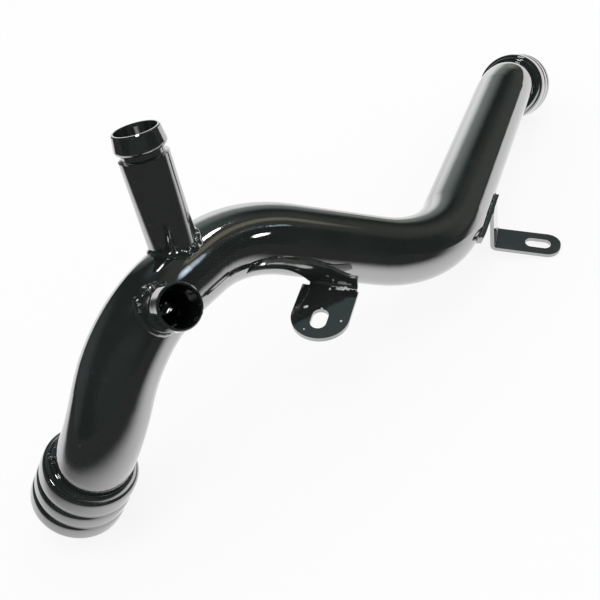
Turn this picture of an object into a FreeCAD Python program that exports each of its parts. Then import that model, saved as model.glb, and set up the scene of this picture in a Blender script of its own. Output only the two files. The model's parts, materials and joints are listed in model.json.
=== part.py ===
import FreeCAD, Part
import math
import os

from FreeCAD import Placement, Rotation, Vector

os.makedirs("parts", exist_ok=True)

# All lengths in millimetres, angles in degrees.
# The drawing frame has its origin at the centre of the near port's end face,
# X along the brackets' fold lines, Y along the far run and Z square to the bracket seats.

# Main tube: corner points of its centreline, from the near end face to the far end face.
TUBE_R = 16.0
TUBE_WALL = 1.5
BEND_R = 54.0
CORNERS = [
    Vector(0.0, 0.0, 0.0),
    Vector(21.0, 10.0, 42.5),
    Vector(26.5, 38.0, 77.0),
    Vector(46.5, 101.0, 71.0),
    Vector(129.0, 143.0, 32.0),
    Vector(144.0, 306.0, 25.0),
    Vector(151.5, 343.0, 5.0),
]
TUBE_RECESS = 1.0

# Grooved end fittings, measured from the port's end face along the tube.
FITTING_WALL = 4.0
FITTING_LENGTH = 27.0
SHOULDER_WALL = 3.4
FITTING_END_ROUND = 2.5
SHOULDER_ROUND = 1.0
GROOVE_DEPTH = 1.2
GROOVE_WIDTH = 3.2
GROOVE_STARTS = (7.6, 16.0)
FITTING_WELD_LEG = 3.0
FITTING_WELD_CROWN = 0.6
FITTING_R = TUBE_R + FITTING_WALL
SHOULDER_R = TUBE_R + SHOULDER_WALL
GROOVE_R = FITTING_R - GROOVE_DEPTH

# Hose stubs, measured along their axes from a base point near the tube's third corner.
STUB_WALL = 1.2
MOUTH_WALL = 1.0
NECK_EASE = 0.6
LIP_ROUND = 0.4
UPPER_ALONG = 33.2
UPPER_AXIS = Vector(-0.21, 0.23, 0.95)
UPPER_R = 10.0
UPPER_NECK_R = 8.4
UPPER_BEAD_R = 10.4
UPPER_MOUTH_R = 9.5
UPPER_NECK_START = 52.0
UPPER_BEAD_START = 54.5
UPPER_LENGTH = 62.5
FRONT_ALONG = 10.8
FRONT_DROP = 3.0
FRONT_AXIS = Vector(0.68, -0.36, 0.63)
FRONT_R = 9.0
FRONT_NECK_R = 8.2
FRONT_BEAD_R = 9.3
FRONT_MOUTH_R = 9.0
FRONT_NECK_START = 24.6
FRONT_BEAD_START = 26.6
FRONT_LENGTH = 33.8
STUB_WELD_R = 3.2

# Brackets, pressed from one sheet gauge.
SHEET = 2.0
FOLD_R = 1.5

# Mid bracket: a pad shaped to the tube, a web and a level slotted tab. Edge points are (X, Z).
TAB_TOP = 46.3
TAB_CENTRE_X = 88.5
TAB_WIDTH = 25.5
TAB_END_Y = 70.7
TAB_NOTCH = 2.0
TAB_SLOT_WIDTH = 7.0
TAB_SLOT_LENGTH = 11.0
TAB_SLOT_SHIFT = 1.7
WEB_FRONT_Y = 102.4
WEB_LEFT_X = 78.9
WEB_RIGHT_X = 100.4
WEB_CORNER_Z = 52.0
WEB_FRONT_LIMIT = 70.0
PAD_RIGHT_X = 88.0
PAD_TIP = (59.2, 69.0)
PAD_UPPER_EDGE = [(62.2, 68.9), (65.9, 67.8), (72.7, 64.8), (80.4, 61.6), (86.9, 57.2), (93.4, 53.8)]
PAD_LOWER_EDGE = [(78.0, 52.4), (75.2, 57.2), (71.2, 60.9), (67.4, 63.3), (63.2, 65.9)]
PAD_WELD_POINTS = 4

# End bracket: a leg against the far run and a level slotted foot.
FOOT_TOP = 5.3
LEG_SET_IN = 6.3
FOOT_LENGTH = 33.2
FOOT_NEAR_Y = 184.4
FOOT_FAR_Y = 200.0
FOOT_CORNER_R = 7.0
FOOT_SLOT_OFFSET = 21.7
FOOT_SLOT_WIDTH = 6.6
FOOT_SLOT_LENGTH = 13.0
LEG_TOP = 28.3
LEG_LEAN = 6.0
LIP_NEAR_Y = 165.4
LIP_HEIGHT = 4.0
LIP_WELD_INSET = 5.0
LIP_WELD_POINTS = 4

# Weld beads along the brackets.
BRACKET_WELD_R = 1.1
BEAD_PROUD = 0.2

# Rest pose: the floor's normal in the drawing frame, and the turn about it.
REST_UP = Vector(-0.1433, 0.0685, 0.9873)
HEADING = -16.0

NEAR_ENOUGH = 0.01
up = Vector(0, 0, 1)
right = Vector(1, 0, 0)
away = Vector(0, 1, 0)


def unit(vector):
    return Vector(vector).normalize()


def rod(points, radius):
    """Solid round bar along straight runs joined by tangent bends."""
    pieces = []
    start = points[0]
    for before, corner, after in zip(points, points[1:], points[2:]):
        ahead = unit(corner - before)
        onward = unit(after - corner)
        turn = ahead.getAngle(onward)
        cut = BEND_R * math.tan(turn / 2)
        first = corner - ahead * cut
        normal = ahead.cross(onward).normalize()
        centre = first + normal.cross(ahead) * BEND_R
        pieces.append(Part.makeCylinder(radius, (first - start).Length, start, ahead))
        disc = Part.Face(Part.Wire(Part.makeCircle(radius, first, ahead)))
        pieces.append(disc.revolve(centre, normal, math.degrees(turn)))
        start = corner + onward * cut
    last = unit(points[-1] - points[-2])
    pieces.append(Part.makeCylinder(radius, (points[-1] - start).Length, start, last))
    return pieces[0].multiFuse(pieces[1:]).removeSplitter()


def axis_placement(origin, direction):
    return Placement(origin, Rotation(Vector(0, 0, 1), direction))


def turned(edges, origin, direction):
    """Solid of revolution from radius-and-length edges, set along an axis."""
    face = Part.Face(Part.Wire(edges))
    solid = face.revolve(Vector(0, 0, 0), Vector(0, 0, 1), 360)
    solid.Placement = axis_placement(origin, direction)
    return solid


def point(radius, length):
    return Vector(radius, 0, length)


def polyline(points):
    return [Part.makeLine(a, b) for a, b in zip(points, points[1:])]


def is_ring(edge, radius, height):
    """Whether a turned edge is the circle of this radius at this height."""
    same_radius = abs(edge.Curve.Radius - radius) < NEAR_ENOUGH
    return same_radius and abs(edge.CenterOfMass.z - height) < NEAR_ENOUGH


def fitting(origin, direction):
    """Grooved ring with a rounded open end and a tapered shoulder."""
    outline = [point(TUBE_R, 0), point(FITTING_R, 0)]
    for start in GROOVE_STARTS:
        outline.append(point(FITTING_R, start))
        outline.append(point(GROOVE_R, start))
        outline.append(point(GROOVE_R, start + GROOVE_WIDTH))
        outline.append(point(FITTING_R, start + GROOVE_WIDTH))
    outline.append(point(SHOULDER_R, FITTING_LENGTH))
    outline.append(point(TUBE_R, FITTING_LENGTH))
    outline.append(outline[0])
    ring = turned(polyline(outline), Vector(0, 0, 0), Vector(0, 0, 1))
    circles = [edge for edge in ring.Edges if edge.Closed]
    mouth_edge = [edge for edge in circles if is_ring(edge, FITTING_R, 0)]
    ring = ring.makeFillet(FITTING_END_ROUND, mouth_edge)
    circles = [edge for edge in ring.Edges if edge.Closed]
    shoulder_edge = [edge for edge in circles if is_ring(edge, SHOULDER_R, FITTING_LENGTH)]
    ring = ring.makeFillet(SHOULDER_ROUND, shoulder_edge)
    ring.Placement = axis_placement(origin, direction)
    return ring


def fitting_weld(origin, direction):
    """Crowned bead in the corner between a fitting's shoulder and the tube."""
    reach = FITTING_LENGTH + FITTING_WELD_LEG
    foot = point(TUBE_R, reach)
    corner = point(TUBE_R, FITTING_LENGTH)
    top = point(SHOULDER_R - SHOULDER_ROUND, FITTING_LENGTH)
    middle = (foot + top) * 0.5
    crown = middle + unit(middle - corner) * FITTING_WELD_CROWN
    edges = polyline([foot, corner, top]) + [Part.Arc(top, crown, foot).toShape()]
    return turned(edges, origin, direction)


def stub_blank(radius, neck_r, bead_r, mouth_r, neck_start, bead_start, length, base, axis):
    """Solid outer form of a hose stub: body, neck and rolled bead."""
    corner_round = bead_r - neck_r
    neck_low = point(neck_r, neck_start + NECK_EASE)
    neck_high = point(neck_r, bead_start)
    bead_side = point(bead_r, bead_start + corner_round)
    slope = corner_round * (1 - math.sqrt(0.5))
    corner_middle = point(bead_r - slope, bead_start + slope)
    lip = point(mouth_r, length - LIP_ROUND)
    mouth = point(mouth_r - LIP_ROUND, length)
    edges = polyline([point(0, 0), point(radius, 0), point(radius, neck_start), neck_low, neck_high])
    edges.append(Part.Arc(neck_high, corner_middle, bead_side).toShape())
    edges.extend(polyline([bead_side, lip, mouth, point(0, length), point(0, 0)]))
    return turned(edges, base, axis)


def stub_bore(neck_r, mouth_r, bead_start, length, base, axis):
    """Bore of a hose stub, straight to the bead and opening from there to the mouth."""
    bore_r = neck_r - STUB_WALL
    opened_r = mouth_r - MOUTH_WALL
    outline = [
        point(0, 0),
        point(bore_r, 0),
        point(bore_r, bead_start),
        point(opened_r, length),
        point(0, length),
        point(0, 0),
    ]
    return turned(polyline(outline), base, axis)


def slot(centre, width, length, along, low, high):
    """Upright cutter with half-round ends, its long side in a level direction."""
    half = (length - width) / 2
    first = centre - along * half
    last = centre + along * half
    side = up.cross(along) * (width / 2)
    edges = [
        Part.makeLine(first - side, last - side),
        Part.Arc(last - side, last + along * (width / 2), last + side).toShape(),
        Part.makeLine(last + side, first + side),
        Part.Arc(first + side, first - along * (width / 2), first - side).toShape(),
    ]
    face = Part.Face(Part.Wire(edges))
    face.translate(up * (low - centre.z))
    return face.extrude(up * (high - low))


def fold(corner, out, rise, along, flat, height):
    """Bent sheet: a flat leg along out and a rising leg along rise, extruded along its fold."""
    half = out.getAngle(rise) / 2
    tangent = FOLD_R / math.tan(half)
    bisector = (out + rise).normalize()
    centre = corner + bisector * (FOLD_R / math.sin(half))
    below = (out * out.dot(rise) - rise).normalize() * SHEET
    behind = (rise * out.dot(rise) - out).normalize() * SHEET
    top = corner + rise * height
    tip = corner + out * flat
    rise_start = corner + rise * tangent
    flat_start = corner + out * tangent
    inner_middle = centre - bisector * FOLD_R
    outer_middle = centre - bisector * (FOLD_R + SHEET)
    edges = [
        Part.makeLine(top, rise_start),
        Part.Arc(rise_start, inner_middle, flat_start).toShape(),
        Part.makeLine(flat_start, tip),
        Part.makeLine(tip, tip + below),
        Part.makeLine(tip + below, flat_start + below),
        Part.Arc(flat_start + below, outer_middle, rise_start + behind).toShape(),
        Part.makeLine(rise_start + behind, top + behind),
        Part.makeLine(top + behind, top),
    ]
    return Part.Face(Part.Wire(edges)).extrude(along)


def stub_weld(blank, axis, base, radius):
    """Fillet of filler metal in the corner between a stub and the tube."""
    joined = tube_outer.fuse(blank)
    seam = []
    for edge in joined.Edges:
        middle = edge.valueAt((edge.FirstParameter + edge.LastParameter) / 2)
        lift = (middle - base).dot(axis)
        off_axis = ((middle - base) - axis * lift).Length
        on_tube = tube_outer.Shells[0].distToShape(Part.Vertex(middle))[0] < NEAR_ENOUGH
        if on_tube and lift > 0 and abs(off_axis - radius) < NEAR_ENOUGH:
            seam.append(edge)
    return joined.makeFillet(STUB_WELD_R, seam).cut(joined)


def upright(edge_point):
    return Vector(edge_point[0], WEB_FRONT_LIMIT, edge_point[1])


def smooth(points):
    curve = Part.BSplineCurve()
    curve.interpolate(points)
    return curve.toShape()


def flank_point(start, direction):
    """First point of the tube's surface met on a line."""
    hits = Part.makeLine(start, start + direction).common(tube_outer).Vertexes
    return min((vertex.Point for vertex in hits), key=lambda hit: (hit - start).Length)


def bead(path_points, body):
    """Weld bead along a line on the tube, cleared of the tube and the bracket."""
    path = smooth(path_points)
    start = path.valueAt(path.FirstParameter)
    ahead = path.tangentAt(path.FirstParameter)
    ring = Part.Wire(Part.makeCircle(BRACKET_WELD_R, start, ahead))
    run = Part.Wire(path).makePipeShell([ring], True, False)
    caps = [Part.makeSphere(BRACKET_WELD_R, end) for end in (path_points[0], path_points[-1])]
    return run.multiFuse(caps).cut(tube_outer).cut(body)


# Tube
tube_outer = rod(CORNERS, TUBE_R)
near_axis = unit(CORNERS[1] - CORNERS[0])
far_axis = unit(CORNERS[-2] - CORNERS[-1])
tube_line = list(CORNERS)
tube_line[0] = CORNERS[0] + near_axis * TUBE_RECESS
tube_line[-1] = CORNERS[-1] + far_axis * TUBE_RECESS
tube_bar = rod(tube_line, TUBE_R)
tube_bore = rod(CORNERS, TUBE_R - TUBE_WALL)

# Stubs, open into the tube
stub_run = unit(CORNERS[3] - CORNERS[2])
upper_base = CORNERS[2] + stub_run * UPPER_ALONG
front_base = CORNERS[2] + stub_run * FRONT_ALONG - up * FRONT_DROP
upper_axis = unit(UPPER_AXIS)
front_axis = unit(FRONT_AXIS)
upper_blank = stub_blank(UPPER_R, UPPER_NECK_R, UPPER_BEAD_R, UPPER_MOUTH_R, UPPER_NECK_START,
                         UPPER_BEAD_START, UPPER_LENGTH, upper_base, upper_axis)
front_blank = stub_blank(FRONT_R, FRONT_NECK_R, FRONT_BEAD_R, FRONT_MOUTH_R, FRONT_NECK_START,
                         FRONT_BEAD_START, FRONT_LENGTH, front_base, front_axis)
upper_bore = stub_bore(UPPER_NECK_R, UPPER_MOUTH_R, UPPER_BEAD_START, UPPER_LENGTH, upper_base, upper_axis)
front_bore = stub_bore(FRONT_NECK_R, FRONT_MOUTH_R, FRONT_BEAD_START, FRONT_LENGTH, front_base, front_axis)
main_tube = tube_bar.cut(tube_bore).cut(upper_bore).cut(front_bore)
upper_stub = upper_blank.cut(tube_outer).cut(upper_bore)
front_stub = front_blank.cut(tube_outer).cut(front_bore)
upper_stub_weld = stub_weld(upper_blank, upper_axis, upper_base, UPPER_R)
front_stub_weld = stub_weld(front_blank, front_axis, front_base, FRONT_R)

# End fittings
near_fitting = fitting(CORNERS[0], near_axis)
far_fitting = fitting(CORNERS[-1], far_axis)
near_fitting_weld = fitting_weld(CORNERS[0], near_axis)
far_fitting_weld = fitting_weld(CORNERS[-1], far_axis)

# Sheet skin that follows the tube, from which the bracket pads are taken
tube_skin = rod(CORNERS, TUBE_R + SHEET).cut(tube_outer)

# Mid bracket: its outline seen from the front cuts the pad and the web
tab_low = TAB_TOP - SHEET
tip = upright(PAD_TIP)
web_high = upright((WEB_RIGHT_X, WEB_CORNER_Z))
web_left = upright((WEB_LEFT_X, TAB_TOP + SHEET))
upper_edge = [tip] + [upright(edge_point) for edge_point in PAD_UPPER_EDGE] + [web_high]
lower_edge = [web_left] + [upright(edge_point) for edge_point in PAD_LOWER_EDGE] + [tip]
web_foot = [web_high, upright((WEB_RIGHT_X, tab_low)), upright((WEB_LEFT_X, tab_low)), web_left]
outline = [smooth(upper_edge)] + polyline(web_foot) + [smooth(lower_edge)]
depth = WEB_FRONT_Y + 2 * SHEET - WEB_FRONT_LIMIT
prism = Part.Face(Part.Wire(outline)).extrude(away * depth)
beyond_pad = Part.makeBox(PAD_RIGHT_X, depth, CORNERS[2].z, upright((PAD_RIGHT_X, 0)))
pad = tube_skin.common(prism).cut(beyond_pad)
web = fold(Vector(WEB_LEFT_X, WEB_FRONT_Y, TAB_TOP), -away, up, right * (WEB_RIGHT_X - WEB_LEFT_X),
           FOLD_R + 2 * TAB_NOTCH, CORNERS[2].z - TAB_TOP)
tab_half = TAB_WIDTH / 2
tab_round_y = TAB_END_Y + tab_half
tab_run = WEB_FRONT_Y - TAB_NOTCH - tab_round_y
tab_plate = Part.makeBox(TAB_WIDTH, tab_run, SHEET, Vector(TAB_CENTRE_X - tab_half, tab_round_y, tab_low))
tab_round = Part.makeCylinder(tab_half, SHEET, Vector(TAB_CENTRE_X, tab_round_y, tab_low))
tab_slot_centre = Vector(TAB_CENTRE_X, tab_round_y - TAB_SLOT_SHIFT, TAB_TOP)
tab_slot = slot(tab_slot_centre, TAB_SLOT_WIDTH, TAB_SLOT_LENGTH, away, tab_low - SHEET, TAB_TOP + SHEET)
mid_blank = pad.fuse(web).common(prism).multiFuse([tab_plate, tab_round])
mid_bracket = mid_blank.cut(tab_slot).cut(tube_outer).removeSplitter()
mid_seam = []
for edge_point in PAD_UPPER_EDGE[:PAD_WELD_POINTS]:
    mid_seam.append(flank_point(upright(edge_point), away * depth) + (up - away) * BEAD_PROUD)
mid_bracket_weld = bead(mid_seam, mid_bracket)

# End bracket, its fold set in from the flank of the tube's far corner
fold_x = CORNERS[5].x + TUBE_R - LEG_SET_IN
foot_end_x = fold_x + FOOT_LENGTH
lean = math.radians(LEG_LEAN)
leg_rise = Vector(-math.sin(lean), 0, math.cos(lean))
leg_length = (LEG_TOP - FOOT_TOP) / leg_rise.z
foot_width = FOOT_FAR_Y - FOOT_NEAR_Y
foot_corner = Vector(fold_x, FOOT_NEAR_Y, FOOT_TOP)
strip = fold(foot_corner, right, leg_rise, away * foot_width, FOOT_LENGTH, leg_length)
foot_corners = []
for edge in strip.Edges:
    upright_edge = edge.tangentAt(edge.FirstParameter).cross(up).Length < NEAR_ENOUGH
    if upright_edge and abs(edge.CenterOfMass.x - foot_end_x) < NEAR_ENOUGH:
        foot_corners.append(edge)
strip = strip.makeFillet(FOOT_CORNER_R, foot_corners)
foot_centre = Vector(fold_x + FOOT_SLOT_OFFSET, FOOT_NEAR_Y + foot_width / 2, FOOT_TOP)
foot_slot = slot(foot_centre, FOOT_SLOT_WIDTH, FOOT_SLOT_LENGTH, right,
                 FOOT_TOP - 2 * SHEET, FOOT_TOP + SHEET)
lip_length = FOOT_FAR_Y - LIP_NEAR_Y
lip_corner = Vector(CORNERS[4].x + TUBE_R / 2, LIP_NEAR_Y, LEG_TOP - LIP_HEIGHT)
lip = tube_skin.common(Part.makeBox(2 * TUBE_R, lip_length, LIP_HEIGHT, lip_corner))
end_bracket = strip.fuse(lip).cut(foot_slot).cut(tube_outer).removeSplitter()
weld_step = (lip_length - 2 * LIP_WELD_INSET) / (LIP_WELD_POINTS - 1)
inward = right * (CORNERS[4].x - foot_end_x)
end_seam = []
for place in range(LIP_WELD_POINTS):
    outside = Vector(foot_end_x, LIP_NEAR_Y + LIP_WELD_INSET + place * weld_step, LEG_TOP)
    end_seam.append(flank_point(outside, inward) + (up + right) * BEAD_PROUD)
end_bracket_weld = bead(end_seam, end_bracket)

# Rest pose, with the origin under the middle of the part
pieces = {
    "main_tube": main_tube,
    "near_fitting": near_fitting,
    "far_fitting": far_fitting,
    "upper_stub": upper_stub,
    "front_stub": front_stub,
    "mid_bracket": mid_bracket,
    "end_bracket": end_bracket,
    "near_fitting_weld": near_fitting_weld,
    "far_fitting_weld": far_fitting_weld,
    "upper_stub_weld": upper_stub_weld,
    "front_stub_weld": front_stub_weld,
    "mid_bracket_weld": mid_bracket_weld,
    "end_bracket_weld": end_bracket_weld,
}
turn = Rotation(up, HEADING) * Rotation(REST_UP, up)
turn_only = Placement(Vector(0, 0, 0), turn)
whole = Part.Compound([shape.transformed(turn_only.toMatrix()) for shape in pieces.values()])
box = whole.optimalBoundingBox()
rest = Placement(Vector(-box.Center.x, -box.Center.y, -box.ZMin), turn)
for name, shape in pieces.items():
    shape.Solids[0].transformed(rest.toMatrix()).exportStep("parts/" + name + ".step")
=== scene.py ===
import json
import math

import bmesh
import bpy
from mathutils import Matrix, Vector, noise
from mathutils.bvhtree import BVHTree


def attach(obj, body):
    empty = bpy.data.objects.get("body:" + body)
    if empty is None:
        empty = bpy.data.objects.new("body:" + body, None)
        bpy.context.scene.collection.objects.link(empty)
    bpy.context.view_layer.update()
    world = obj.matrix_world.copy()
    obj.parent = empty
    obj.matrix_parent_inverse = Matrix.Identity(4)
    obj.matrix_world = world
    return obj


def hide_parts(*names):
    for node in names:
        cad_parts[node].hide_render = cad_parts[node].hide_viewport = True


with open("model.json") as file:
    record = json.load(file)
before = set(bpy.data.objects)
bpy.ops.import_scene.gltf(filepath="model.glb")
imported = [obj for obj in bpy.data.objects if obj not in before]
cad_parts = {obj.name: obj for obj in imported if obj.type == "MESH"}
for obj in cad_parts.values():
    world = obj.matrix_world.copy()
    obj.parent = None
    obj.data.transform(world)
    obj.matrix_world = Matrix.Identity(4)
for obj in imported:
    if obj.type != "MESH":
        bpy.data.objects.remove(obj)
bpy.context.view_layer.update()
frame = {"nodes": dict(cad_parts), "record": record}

nodes = frame["nodes"]
mounts = {mount["name"]: mount for mount in frame["record"]["mounts"]}

# All lengths are in metres, in the part's frame. Headings are in degrees from +Y towards +X.
MM_PER_M = 1000

# Camera: it looks down on the part from the front, a little tilted.
EYE = Vector((0.03079, -0.33899, 0.26984))
HEADING = -10.39
LOOK_DOWN = 39.42
ROLL = 14.81
LENS = 47.4

# Floor: a white sheet, as the gloss paint mirrors it. Each edge fades into the dark room:
# a point on the edge, the heading that points onto the sheet, and the half width of the fade.
# The camera sees white there with a small share of the part's shadow.
FLOOR_SIDE = 6.0
SHEET_EDGES = {
    "right": ((0.2, 0.0), -45, 0.085),
    "left": ((-0.43, 0.0), 47, 0.08),
    "front": ((0.0, -0.19), 0, 0.1),
}
SHEET_COLOUR = (0.88, 0.88, 0.88, 1.0)
TABLE_DARK = 0.04
SHADOW_SHARE = 0.15

# Room: its dark level in the paint, its fill on everything else, and soft lights that only the
# paint mirrors: heading, elevation, half angles of the core and of the rim, level and colour.
ROOM_DARK = 0.024
ROOM_TINT = (0.78, 1.0, 0.92)
ROOM_FILL = 1.0
PLAIN_WHITE = (1.0, 1.0, 1.0)
GLOWS = {
    "backdrop_low": (-10, 0, 5, 25, 0.9, PLAIN_WHITE),
    "backdrop_high": (-5, 12, 5, 34, 0.32, (0.93, 1.0, 0.96)),
    "back_right": (22, 6, 2, 10, 0.13, (1.0, 0.96, 0.78)),
    "right_wall": (55, 0, 10, 35, 0.06, (0.95, 1.0, 0.9)),
    "upper_wall": (60, 45, 8, 30, 0.045, (1.0, 0.97, 0.85)),
    "front_wall": (172, 15, 20, 50, 0.018, (0.8, 1.0, 0.95)),
    "left_wall": (-80, 5, 10, 40, 0.05, (0.85, 0.97, 1.0)),
    "high_back": (5, 53, 3, 24, 0.08, (0.7, 0.95, 1.0)),
    "warm_glow": (64, 43, 1, 7, 0.2, (1.0, 0.9, 0.62)),
}

# Lamps: the point they are aimed at, heading, elevation, distance, half angle, radiance, colour.
# A snooted lamp shines only as wide as its own half angle, so it lights a small patch.
ARCH = Vector((-0.03, -0.08, 0.085))
LAMPS = {
    "overhead_lamp": (ARCH, 154, 86, 1.5, 4.5, 8.0, PLAIN_WHITE),
    "upper_lamp": (ARCH, 41, 51, 1.5, 3.5, 8.0, PLAIN_WHITE),
    "side_lamp": (Vector((-0.027, -0.074, 0.086)), 104, 20, 0.25, 4, 16.0, PLAIN_WHITE),
    "cool_lamp": (Vector((-0.052, -0.101, 0.094)), 83, 36, 0.18, 9, 2.4, (0.72, 0.86, 1.0)),
}
SNOOTED = ("side_lamp", "cool_lamp")

# Paint. A coat is its roughness, the range of roughness under it, and the depth of its orange peel.
# The brackets' coat is a little duller and rougher than the tube's. Sizes are those of the noise,
# a span is the part of the noise that counts, and detail is the number of its layers.
PAINT_COLOUR = (0.008, 0.0095, 0.009, 1.0)
DUST_COLOUR = (0.10, 0.105, 0.095, 1.0)
PAINT_IOR = 2.8
TUBE_COAT = (0.03, (0.04, 0.14), 0.000012)
BRACKET_COAT = (0.07, (0.1, 0.2), 0.00003)
PEEL_SIZE = 0.0022
WAVE_SIZE = 0.014
WAVE_DEPTH = 0.00006
SMUDGE_SIZE = 0.02
SMUDGE_SPAN = (0.35, 0.7)
DUST_SIZE = 0.0012
DUST_SPAN = (0.75, 0.78)
PLAIN_DETAIL = 1
GRAIN_DETAIL = 2
SMUDGE_DETAIL = 3

# End fittings, turned: distance from the mouth and radius, in millimetres.
SPIGOT_INSET = 0.005
FITTING_LENGTH = 0.027
FITTING_PROFILE = (
    (0.0, 15.8), (0.0, 17.5), (0.5, 18.9), (1.8, 19.8), (3.4, 20.0), (6.6, 20.0),
    (7.9, 19.8), (8.6, 19.2), (9.2, 18.95), (9.8, 19.2), (10.5, 19.8), (11.8, 20.0),
    (15.0, 20.0), (16.3, 19.8), (17.0, 19.2), (17.6, 18.95), (18.2, 19.2), (18.9, 19.8),
    (20.2, 20.0), (24.5, 19.8), (26.2, 19.6), (26.9, 18.9), (27.1, 18.0), (27.2, 15.8),
)
FITTING_SIDES = 120
FITTING_SMOOTHING = 2
FITTINGS = {"near_fitting": "near_spigot", "far_fitting": "far_spigot"}

# Weld beads at the stubs: the bore that gives the stub's axis, the stub's radius, the bead's
# largest radius and the side where it is largest and roughest. Away from that side the bead falls
# to its slim share of the radius and to its least roughness.
STUB_WELDS = {
    "upper_stub_weld": ("upper_bore", 0.010, 0.0021, Vector((0.9, -0.4, 0.0))),
    "front_stub_weld": ("front_bore", 0.009, 0.0022, Vector((-0.6, 0.0, 0.8))),
}
SLIM_SHARE = 0.65
LEAST_ROUGH = 0.35
STUB_BEAD_STEPS = 300
STUB_BEAD_LIFT = 0.2

# Weld beads at the fittings, round the tube. The lifts along and out are shares of the bead's radius.
TUBE_R = 0.016
FITTING_BEAD_R = 0.0017
FITTING_BEAD_STEPS = 420
FITTING_BEAD_ALONG = 0.3
FITTING_BEAD_OUT = 0.4

# Weld beads at the brackets follow the seam, found where the bracket lies on the tube.
BRACKET_WELDS = {"mid_bracket_weld": "mid_bracket", "end_bracket_weld": "end_bracket"}
BRACKET_BEAD_R = 0.0007
CONTACT = 0.00012
SEAM_STEP = 0.0003
SEAM_DIGITS = 6

# Every bead: its section, its ripples, and its lumps as the share of ripple and of lump in the
# bead's radius and the lumps' size.
BEAD_SIDES = 18
BEAD_FLATTEN = 0.7
RIPPLE_PITCH = 0.0026
RIPPLE_MEAN = 0.6
STUB_LUMPS = (0.1, 0.5, 0.0024)
FITTING_LUMPS = (0.0, 0.14, 0.0060)
BRACKET_LUMPS = (0.0, 0.45, 0.0018)

# Weld spatter: the piece that it lies on, and place and radius of each drop seen from above.
# The drops on the bracket carry patches in a pale steel colour: painted highlights.
SPATTER = {
    "mid_bracket": (
        (-0.0150, -0.0818, 0.0008), (-0.0141, -0.0815, 0.0006), (-0.0078, -0.0832, 0.0005),
        (0.0, -0.0909, 0.0005), (-0.0156, -0.0944, 0.0004), (-0.0040, -0.0718, 0.0006),
        (-0.0005, -0.0718, 0.0009), (0.0012, -0.0720, 0.0011), (0.0028, -0.0721, 0.0010),
        (0.0042, -0.0726, 0.0007),
    ),
    "near_fitting_weld": (
        (-0.1200, -0.1417, 0.0009), (-0.1186, -0.1434, 0.0011), (-0.1174, -0.1453, 0.0009),
    ),
}
DROP_HEIGHT = 1.0
DROP_FINENESS = 4
DROP_FLATTEN = 0.55
DROP_LUMP = 0.5
# Painted highlights on the bracket's drops: a pale steel colour in patches, with its roughness and
# grain.
GLINT_PALE_COLOUR = (0.62, 0.63, 0.65, 1.0)
GLINT_ROUGHNESS = (0.25, 0.5)
GLINT_GRAIN = 0.0006
GLINT_GRAIN_DEPTH = 0.00006
GLINT_SPAN = (0.3, 0.45)

# Soft edges on the pressed brackets
EDGE_ROUND = 0.00035
EDGE_SEGMENTS = 2
EDGE_ANGLE = 40


def link(tree, start, end):
    tree.links.new(start, end)


def node(tree, kind, **settings):
    made = tree.nodes.new(kind)
    for name, value in settings.items():
        setattr(made, name, value)
    return made


def towards(heading, elevation):
    """Unit vector in a direction."""
    a = math.radians(heading)
    e = math.radians(elevation)
    return Vector((math.sin(a) * math.cos(e), math.cos(a) * math.cos(e), math.sin(e)))


def noise_field(tree, size, detail):
    """Noise over the surface, with features of about this size."""
    place = node(tree, "ShaderNodeTexCoord")
    field = node(tree, "ShaderNodeTexNoise")
    field.inputs["Scale"].default_value = 1 / size
    field.inputs["Detail"].default_value = detail
    link(tree, place.outputs["Object"], field.inputs["Vector"])
    return field.outputs["Fac"]


def ranged(tree, value, low, high, new_low, new_high):
    """A value's span, mapped smoothly onto a new one and held past its ends."""
    made = node(tree, "ShaderNodeMapRange", interpolation_type="SMOOTHSTEP")
    made.inputs["From Min"].default_value = low
    made.inputs["From Max"].default_value = high
    made.inputs["To Min"].default_value = new_low
    made.inputs["To Max"].default_value = new_high
    link(tree, value, made.inputs["Value"])
    return made.outputs["Result"]


def bump(tree, height, depth, below=None):
    """Normal of a bumpy surface, on top of a larger bump if there is one."""
    made = node(tree, "ShaderNodeBump")
    made.inputs["Distance"].default_value = depth
    link(tree, height, made.inputs["Height"])
    if below is not None:
        link(tree, below, made.inputs["Normal"])
    return made.outputs["Normal"]


def blend(tree, share, first, second):
    """Colour between two constant ones."""
    made = node(tree, "ShaderNodeMix", data_type="RGBA")
    made.inputs["A"].default_value = first
    made.inputs["B"].default_value = second
    link(tree, share, made.inputs["Factor"])
    return made.outputs["Result"]


def gloss_paint(name, coat_roughness, roughness_range, peel_depth):
    """Thick gloss black paint: slight orange peel and waves, dull smudges and fine dust."""
    material = bpy.data.materials.new(name)
    material.use_nodes = True
    tree = material.node_tree
    shader = tree.nodes["Principled BSDF"]
    shader.inputs["IOR"].default_value = PAINT_IOR
    shader.inputs["Coat Weight"].default_value = 1.0
    shader.inputs["Coat IOR"].default_value = PAINT_IOR
    shader.inputs["Coat Roughness"].default_value = coat_roughness
    smudges = noise_field(tree, SMUDGE_SIZE, SMUDGE_DETAIL)
    roughness = ranged(tree, smudges, *SMUDGE_SPAN, *roughness_range)
    link(tree, roughness, shader.inputs["Roughness"])
    specks = noise_field(tree, DUST_SIZE, PLAIN_DETAIL)
    dust = ranged(tree, specks, *DUST_SPAN, 0, 1)
    link(tree, blend(tree, dust, PAINT_COLOUR, DUST_COLOUR), shader.inputs["Base Color"])
    waves = bump(tree, noise_field(tree, WAVE_SIZE, PLAIN_DETAIL), WAVE_DEPTH)
    peel = bump(tree, noise_field(tree, PEEL_SIZE, PLAIN_DETAIL), peel_depth, waves)
    link(tree, peel, shader.inputs["Normal"])
    link(tree, peel, shader.inputs["Coat Normal"])
    return material


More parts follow.
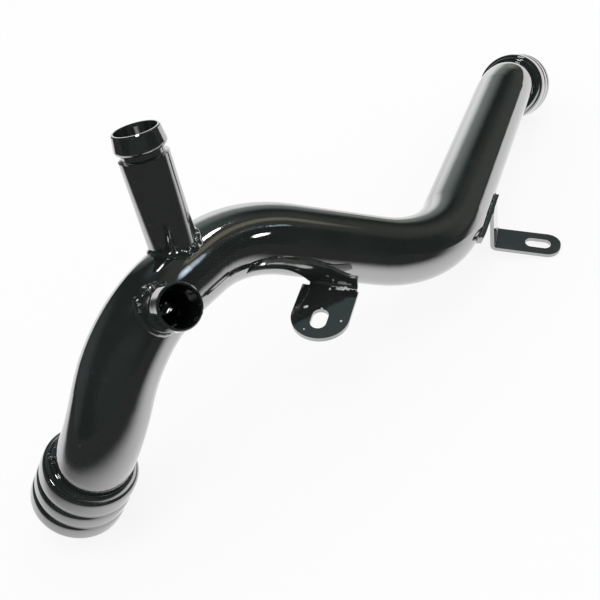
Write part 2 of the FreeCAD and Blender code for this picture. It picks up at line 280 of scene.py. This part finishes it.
def painted_glint_material():
    """Spatter tops with painted highlights: patches of a pale steel colour, patchy between paint and
    steel.
    """
    material = bpy.data.materials.new("painted_glint_spatter")
    material.use_nodes = True
    tree = material.node_tree
    shader = tree.nodes["Principled BSDF"]
    grain = noise_field(tree, GLINT_GRAIN, GRAIN_DETAIL)
    # Where the grain is high, the drop is painted pale as a highlight.
    glint_share = ranged(tree, grain, *GLINT_SPAN, 0, 1)
    link(tree, blend(tree, glint_share, PAINT_COLOUR, GLINT_PALE_COLOUR), shader.inputs["Base Color"])
    link(tree, ranged(tree, grain, 0, 1, *GLINT_ROUGHNESS), shader.inputs["Roughness"])
    link(tree, bump(tree, grain, GLINT_GRAIN_DEPTH), shader.inputs["Normal"])
    return material


def added(name, mesh):
    """Smooth object from a bmesh."""
    bmesh.ops.recalc_face_normals(mesh, faces=mesh.faces)
    data = bpy.data.meshes.new(name)
    mesh.to_mesh(data)
    mesh.free()
    for face in data.polygons:
        face.use_smooth = True
    made = bpy.data.objects.new(name, data)
    bpy.context.scene.collection.objects.link(made)
    return made


def ring_of_sections(name, sections):
    """Closed skin over closed sections that follow each other all round a ring."""
    mesh = bmesh.new()
    rows = [[mesh.verts.new(point) for point in section] for section in sections]
    for k in range(len(rows)):
        for j in range(len(rows[k])):
            mesh.faces.new((rows[k - 1][j - 1], rows[k - 1][j], rows[k][j], rows[k][j - 1]))
    return added(name, mesh)


def rippled_bead(name, line, outward, radii, lumps, roughness, seed):
    """Weld bead along a closed line. outward points out of the corner that it fills."""
    ripple_share, lump_share, lump_size = lumps
    shift = Vector((seed, seed, seed))
    count = len(line)
    length = sum((line[k] - line[k - 1]).length for k in range(count))
    ripples = round(length / RIPPLE_PITCH)
    sections = []
    for k in range(count):
        ahead = (line[(k + 1) % count] - line[k - 1]).normalized()
        out = (outward[k] - ahead * outward[k].dot(ahead)).normalized()
        side = ahead.cross(out)
        ripple = abs(math.sin(math.pi * ripples * k / count)) - RIPPLE_MEAN
        radius = radii[k]
        section = []
        for turn in range(BEAD_SIDES):
            angle = 2 * math.pi * turn / BEAD_SIDES
            arm = out * math.cos(angle) * BEAD_FLATTEN + side * math.sin(angle)
            lump = noise.noise((line[k] + arm * radius) / lump_size + shift)
            reach = radius * (1 + roughness[k] * (ripple_share * ripple + lump_share * lump))
            section.append(line[k] + arm * reach)
        sections.append(section)
    return ring_of_sections(name, sections)


def circle_arms(axis, count):
    """Unit arms all round an axis."""
    first = axis.orthogonal().normalized()
    second = axis.cross(first)
    angles = [2 * math.pi * k / count for k in range(count)]
    return [first * math.cos(angle) + second * math.sin(angle) for angle in angles]


def surface(piece):
    """A piece's final surface, for rays and nearest points."""
    return BVHTree.FromObject(piece, bpy.context.evaluated_depsgraph_get())


def stub_bead(name, mount_name, stub_r, bead_r, rough_side):
    """Bead in the corner between a hose stub and the tube, where the stub's wall meets the tube."""
    tube = surface(nodes["main_tube"])
    mount = mounts[mount_name]
    axis = Vector(mount["axis"])
    above = Vector(mount["pos_m"]) + axis * stub_r
    line = []
    outward = []
    roughness = []
    radii = []
    for arm in circle_arms(axis, STUB_BEAD_STEPS):
        hit, normal = tube.ray_cast(above + arm * stub_r, -axis)[:2]
        out = (normal + arm).normalized()
        rough = max(0, arm.dot(rough_side))
        radii.append(bead_r * (SLIM_SHARE + (1 - SLIM_SHARE) * rough))
        line.append(hit + out * radii[-1] * STUB_BEAD_LIFT)
        outward.append(out)
        roughness.append(LEAST_ROUGH + (1 - LEAST_ROUGH) * rough)
    return rippled_bead(name, line, outward, radii, STUB_LUMPS, roughness, stub_r * MM_PER_M)


def mouth_of(mount_name):
    """Centre of a fitting's mouth and the direction from there into the tube."""
    inward = -Vector(mounts[mount_name]["axis"])
    return Vector(mounts[mount_name]["pos_m"]) - inward * SPIGOT_INSET, inward


def fitting(name, mount_name):
    """Turned end fitting with two soft grooves."""
    mouth, inward = mouth_of(mount_name)
    sections = []
    for arm in circle_arms(inward, FITTING_SIDES):
        section = []
        for along, radius in FITTING_PROFILE:
            section.append(mouth + (inward * along + arm * radius) / MM_PER_M)
        sections.append(section)
    made = ring_of_sections(name, sections)
    smooth = made.modifiers.new("smooth", "SUBSURF")
    smooth.levels = FITTING_SMOOTHING
    smooth.render_levels = FITTING_SMOOTHING
    return made


def fitting_bead(name, mount_name):
    """Bead round the tube at a fitting's shoulder."""
    mouth, inward = mouth_of(mount_name)
    arms = circle_arms(inward, FITTING_BEAD_STEPS)
    centre = mouth + inward * (FITTING_LENGTH + FITTING_BEAD_R * FITTING_BEAD_ALONG)
    line = [centre + arm * (TUBE_R + FITTING_BEAD_R * FITTING_BEAD_OUT) for arm in arms]
    outward = [arm + inward for arm in arms]
    radii = [FITTING_BEAD_R] * len(arms)
    roughness = [1] * len(arms)
    return rippled_bead(name, line, outward, radii, FITTING_LUMPS, roughness, len(name))


def seam_loops(piece, tube):
    """Closed outlines of the faces of a piece that lie on the tube."""
    points = []
    for vert in piece.data.vertices:
        points.append(Vector([round(part, SEAM_DIGITS) for part in vert.co]).freeze())
    on_tube = {point for point in points if tube.find_nearest(point)[3] < CONTACT}
    sides = {}
    for face in piece.data.polygons:
        corners = [points[index] for index in face.vertices]
        if all(corner in on_tube for corner in corners):
            for k in range(len(corners)):
                pair = frozenset((corners[k - 1], corners[k]))
                sides[pair] = sides.get(pair, 0) + 1
    next_to = {}
    for pair in [pair for pair, count in sides.items() if count == 1 and len(pair) == 2]:
        first, second = pair
        next_to.setdefault(first, []).append(second)
        next_to.setdefault(second, []).append(first)
    loops = []
    while next_to:
        at = next(iter(next_to))
        loop = []
        while at in next_to:
            loop.append(at)
            ways = next_to.pop(at)
            at = next((way for way in ways if way in next_to), None)
        loops.append(loop)
    return loops


def even_steps(loop):
    """The same closed line in short even steps."""
    line = []
    for k in range(len(loop)):
        gap = loop[k] - loop[k - 1]
        steps = max(1, round(gap.length / SEAM_STEP))
        line.extend(loop[k - 1] + gap * step / steps for step in range(steps))
    return line


def bracket_bead(name, bracket):
    """Thin bead all round the seam between a bracket and the tube."""
    tube = surface(nodes["main_tube"])
    line = even_steps(max(seam_loops(bracket, tube), key=len))
    outward = [tube.find_nearest(point)[1] for point in line]
    radii = [BRACKET_BEAD_R] * len(line)
    roughness = [1] * len(line)
    return rippled_bead(name, line, outward, radii, BRACKET_LUMPS, roughness, len(line))


def spatter(name, drops, under):
    """Flat lumpy drops on the surface under them."""
    mesh = bmesh.new()
    for x, y, radius in drops:
        hit, normal = under.ray_cast(Vector((x, y, DROP_HEIGHT)), Vector((0, 0, -1)))[:2]
        place = Matrix.Translation(hit) @ normal.to_track_quat("Z", "Y").to_matrix().to_4x4()
        place = place @ Matrix.Diagonal((1, 1, DROP_FLATTEN, 1))
        made = bmesh.ops.create_icosphere(
            mesh, subdivisions=DROP_FINENESS, radius=radius, matrix=place)
        for vert in made["verts"]:
            lump = noise.noise(vert.co / radius)
            vert.co += (vert.co - hit) * DROP_LUMP * lump
    return added(name, mesh)


def new_pieces():
    """Pieces that stand for CAD nodes, and the spatter."""
    made = {name: stub_bead(name + "_bead", *sizes) for name, sizes in STUB_WELDS.items()}
    for name, mount_name in FITTINGS.items():
        made[name] = fitting(name + "_turned", mount_name)
        made[name + "_weld"] = fitting_bead(name + "_weld_bead", mount_name)
    for name, bracket in BRACKET_WELDS.items():
        made[name] = bracket_bead(name + "_bead", nodes[bracket])
    for name, piece in made.items():
        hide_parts(name)
    pieces = list(made.values())
    for name, drops in SPATTER.items():
        under = surface(made.get(name, nodes[name]))
        pieces.append(spatter(name + "_spatter", drops, under))
    for piece in pieces:
        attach(piece, "root")
    return pieces


def soften_edges(piece):
    """Small rounds along a pressed piece's sharp edges."""
    rounding = piece.modifiers.new("edge_round", "BEVEL")
    rounding.width = EDGE_ROUND
    rounding.segments = EDGE_SEGMENTS
    rounding.limit_method = "ANGLE"
    rounding.angle_limit = math.radians(EDGE_ANGLE)
    rounding.harden_normals = True


def mixed(tree, share, first, second):
    """Shader between two others."""
    made = node(tree, "ShaderNodeMixShader")
    link(tree, share, made.inputs[0])
    link(tree, first, made.inputs[1])
    link(tree, second, made.inputs[2])
    return made.outputs[0]


def sheet_share(tree):
    """1 on the white sheet, falling to 0 past each of its edges."""
    place = node(tree, "ShaderNodeNewGeometry")
    share = None
    for point, heading, half_width in SHEET_EDGES.values():
        onto = towards(heading, 0)
        inside = node(tree, "ShaderNodeVectorMath", operation="DOT_PRODUCT")
        inside.inputs[1].default_value = onto
        link(tree, place.outputs["Position"], inside.inputs[0])
        edge = onto.dot(Vector((*point, 0)))
        fade = ranged(tree, inside.outputs["Value"], edge - half_width, edge + half_width, 0, 1)
        if share is None:
            share = fade
        else:
            both = node(tree, "ShaderNodeMath", operation="MULTIPLY")
            link(tree, share, both.inputs[0])
            link(tree, fade, both.inputs[1])
            share = both.outputs[0]
    return share


def floor():
    """Pale floor: white to the camera with the part's shadow, and a white sheet in the paint."""
    half = FLOOR_SIDE / 2
    mesh = bpy.data.meshes.new("floor")
    corners = [(-half, -half, 0), (half, -half, 0), (half, half, 0), (-half, half, 0)]
    mesh.from_pydata(corners, [], [(0, 1, 2, 3)])
    made = bpy.data.objects.new("floor", mesh)
    bpy.context.scene.collection.objects.link(made)
    material = bpy.data.materials.new("white_sheet")
    material.use_nodes = True
    tree = material.node_tree
    tree.nodes.clear()
    path = node(tree, "ShaderNodeLightPath")
    diffuse = node(tree, "ShaderNodeBsdfDiffuse")
    diffuse.inputs["Color"].default_value = SHEET_COLOUR
    white = node(tree, "ShaderNodeEmission")
    mirrored = node(tree, "ShaderNodeEmission")
    link(tree, ranged(tree, sheet_share(tree), 0, 1, TABLE_DARK, 1), mirrored.inputs["Strength"])
    seen = node(tree, "ShaderNodeMath", operation="MULTIPLY")
    seen.inputs[1].default_value = 1 - SHADOW_SHARE
    link(tree, path.outputs["Is Camera Ray"], seen.inputs[0])
    plain = mixed(tree, seen.outputs[0], diffuse.outputs[0], white.outputs[0])
    shown = mixed(tree, path.outputs["Is Glossy Ray"], plain, mirrored.outputs[0])
    out = node(tree, "ShaderNodeOutputMaterial")
    link(tree, shown, out.inputs["Surface"])
    mesh.materials.append(material)


def background(tree, level, colour):
    """Even light from all round."""
    made = node(tree, "ShaderNodeBackground")
    made.inputs["Color"].default_value = (*colour, 1)
    made.inputs["Strength"].default_value = level
    return made


def room():
    """Room: white to the camera, dark with soft glows in the paint, an even fill otherwise."""
    world = bpy.data.worlds.new("room")
    bpy.context.scene.world = world
    world.use_nodes = True
    tree = world.node_tree
    tree.nodes.clear()
    path = node(tree, "ShaderNodeLightPath")
    place = node(tree, "ShaderNodeTexCoord")
    mirrored = background(tree, ROOM_DARK, ROOM_TINT).outputs[0]
    for heading, elevation, core, rim, level, colour in GLOWS.values():
        facing = node(tree, "ShaderNodeVectorMath", operation="DOT_PRODUCT")
        facing.inputs[1].default_value = towards(heading, elevation)
        link(tree, place.outputs["Generated"], facing.inputs[0])
        glow = background(tree, level, colour)
        rim_cosine = math.cos(math.radians(rim))
        core_cosine = math.cos(math.radians(core))
        strength = ranged(tree, facing.outputs["Value"], rim_cosine, core_cosine, 0, level)
        link(tree, strength, glow.inputs["Strength"])
        both = node(tree, "ShaderNodeAddShader")
        link(tree, mirrored, both.inputs[0])
        link(tree, glow.outputs[0], both.inputs[1])
        mirrored = both.outputs[0]
    fill = background(tree, ROOM_FILL, PLAIN_WHITE).outputs[0]
    white = background(tree, 1, PLAIN_WHITE).outputs[0]
    unseen = mixed(tree, path.outputs["Is Glossy Ray"], fill, mirrored)
    shown = mixed(tree, path.outputs["Is Camera Ray"], unseen, white)
    out = node(tree, "ShaderNodeOutputWorld")
    link(tree, shown, out.inputs["Surface"])


def lamps():
    """Round lamps, each facing the point that it is aimed at."""
    for name, (aim, heading, elevation, distance, half_angle, radiance, colour) in LAMPS.items():
        direction = towards(heading, elevation)
        half = math.radians(half_angle)
        radius = distance * math.tan(half)
        light = bpy.data.lights.new(name, "AREA")
        light.shape = "DISK"
        light.size = 2 * radius
        light.energy = radiance * math.pi * math.pi * radius * radius
        light.color = colour
        if name in SNOOTED:
            # A narrower beam would be brighter, so the energy falls with it.
            light.spread = 2 * half
            light.energy *= (math.tan(half) - half) / math.tan(half)
        made = bpy.data.objects.new(name, light)
        made.location = aim + direction * distance
        made.rotation_euler = direction.to_track_quat("Z", "Y").to_euler()
        bpy.context.scene.collection.objects.link(made)


def camera():
    """Camera at the eye, turned by its heading, its look down and its roll."""
    data = bpy.data.cameras.new("camera")
    data.lens = LENS
    made = bpy.data.objects.new("camera", data)
    turn = Matrix.Rotation(math.radians(-HEADING), 3, "Z")
    turn = turn @ Matrix.Rotation(math.radians(90 - LOOK_DOWN), 3, "X")
    turn = turn @ Matrix.Rotation(math.radians(-ROLL), 3, "Z")
    made.matrix_world = Matrix.Translation(EYE) @ turn.to_4x4()
    bpy.context.scene.collection.objects.link(made)
    bpy.context.scene.camera = made


tube_paint = gloss_paint("gloss_black_paint", *TUBE_COAT)
bracket_paint = gloss_paint("satin_black_paint", *BRACKET_COAT)
glint_finish = painted_glint_material()
brackets = [nodes["mid_bracket"], nodes["end_bracket"]]
for piece in list(nodes.values()) + new_pieces():
    piece.data.materials.clear()
    if piece in brackets:
        finish = bracket_paint
    # The bracket's spatter gets the pale patches that paint its highlights.
    elif piece.name == "mid_bracket_spatter":
        finish = glint_finish
    else:
        finish = tube_paint
    piece.data.materials.append(finish)
for piece in brackets:
    soften_edges(piece)
floor()
room()
lamps()
camera()
bpy.context.scene.view_settings.view_transform = "Standard"
